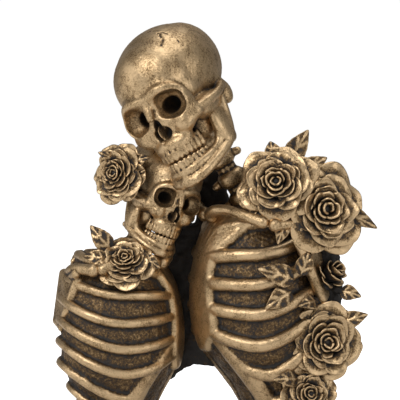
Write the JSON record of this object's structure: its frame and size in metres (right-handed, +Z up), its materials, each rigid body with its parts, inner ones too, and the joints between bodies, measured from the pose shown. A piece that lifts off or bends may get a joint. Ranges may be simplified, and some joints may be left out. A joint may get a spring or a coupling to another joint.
{
  "type": "skeleton couple figurine",
  "caption": "Half-length skeleton couple leaning head to head in an embrace, with roses and leaves, standing free on two flat feet.",
  "frame": {"origin": "on the ground under the middle of the figure's overall box", "axes": "+Z up; the couple faces -Y; +X is the viewer's right, on the tall figure's side"},
  "size_m": [0.1419, 0.0785, 0.1861],
  "materials": {
    "antique_gold": "satin",
    "dark_core": "matte",
    "felt": "matte",
    "steel_wire": "satin"
  },
  "bodies": {
    "root": {"tall_core": "dark_core", "tall_rib_cage": "antique_gold", "tall_spine": "antique_gold", "tall_neck": "antique_gold", "tall_skull": "antique_gold", "tall_jaw": "antique_gold", "tall_left_collarbone": "antique_gold", "tall_right_collarbone": "antique_gold", "tall_left_shoulder_blade": "antique_gold", "tall_right_shoulder_blade": "antique_gold", "small_core": "dark_core", "small_rib_cage": "antique_gold", "small_spine": "antique_gold", "small_neck": "antique_gold", "small_skull": "antique_gold", "small_jaw": "antique_gold", "small_left_collarbone": "antique_gold", "small_right_collarbone": "antique_gold", "small_left_shoulder_blade": "antique_gold", "small_right_shoulder_blade": "antique_gold", "body_web": "dark_core", "rose_bough": "dark_core", "hair_rose": "antique_gold", "chest_rose": "antique_gold", "shoulder_rose": "antique_gold", "large_rose": "antique_gold", "rose_bud": "antique_gold", "side_rose": "antique_gold", "low_rose": "antique_gold", "hair_leaves": "antique_gold", "chest_leaves": "antique_gold", "shoulder_leaves": "antique_gold", "rib_leaves": "antique_gold", "side_leaves": "antique_gold", "low_leaves": "antique_gold", "tall_base_plug": "dark_core", "small_base_plug": "dark_core", "tall_felt_pad": "felt", "small_felt_pad": "felt", "tall_neck_pin": "steel_wire", "small_neck_pin": "steel_wire", "cheek_pin": "steel_wire", "web_pins": "steel_wire", "flower_pins": "steel_wire"}
  },
  "joints": []
}
